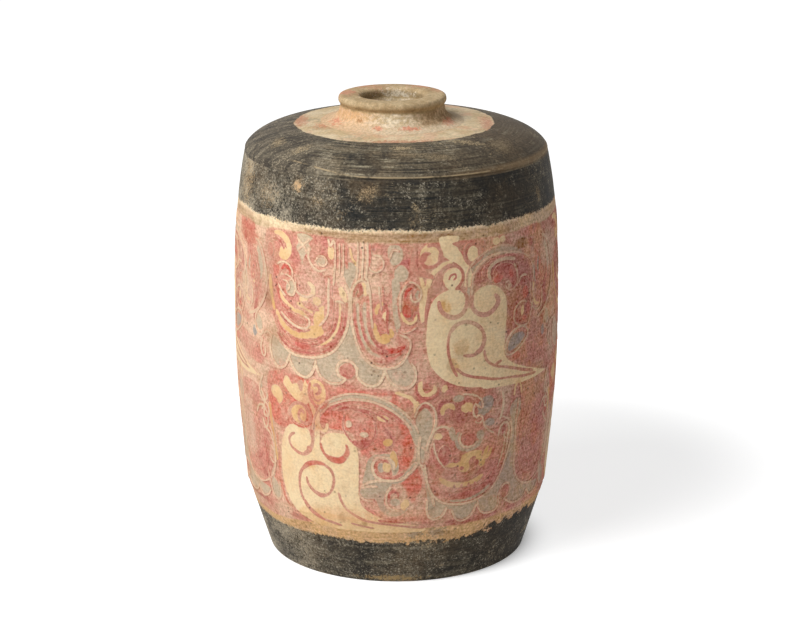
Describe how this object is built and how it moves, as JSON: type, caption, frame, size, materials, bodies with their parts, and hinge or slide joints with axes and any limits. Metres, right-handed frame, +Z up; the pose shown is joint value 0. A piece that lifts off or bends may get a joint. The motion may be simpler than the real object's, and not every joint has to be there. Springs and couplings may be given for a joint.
{
  "type": "cylindrical jar",
  "caption": "Tall earthenware storage jar: a slightly bulging cylinder on a tapered foot, with a low domed shoulder, a small rolled mouth and painted cloud scrolls.",
  "frame": {"origin": "centre of the flat underside of the foot", "axes": "+Z up along the wheel axis; -Y is the side that the picture shows; the neck stands 2.7 mm off the axis towards -X"},
  "size_m": [0.2248, 0.2248, 0.3209],
  "materials": {
    "black_painted_clay": "matt brown-black earth paint, rubbed through to pale clay in streaks",
    "scroll_painted_clay": "matt brick-pink ground with cream, grey and dark red brushed cloud scrolls",
    "cream_slip_clay": "matt cream slip with red and brown stains",
    "worn_rim_clay": "bare buff-grey clay, handled smooth"
  },
  "bodies": {
    "root": {"base_slab": "black_painted_clay", "body_wall": "scroll_painted_clay", "shoulder": "black_painted_clay", "neck": "cream_slip_clay", "mouth_rim": "worn_rim_clay"}
  },
  "joints": []
}
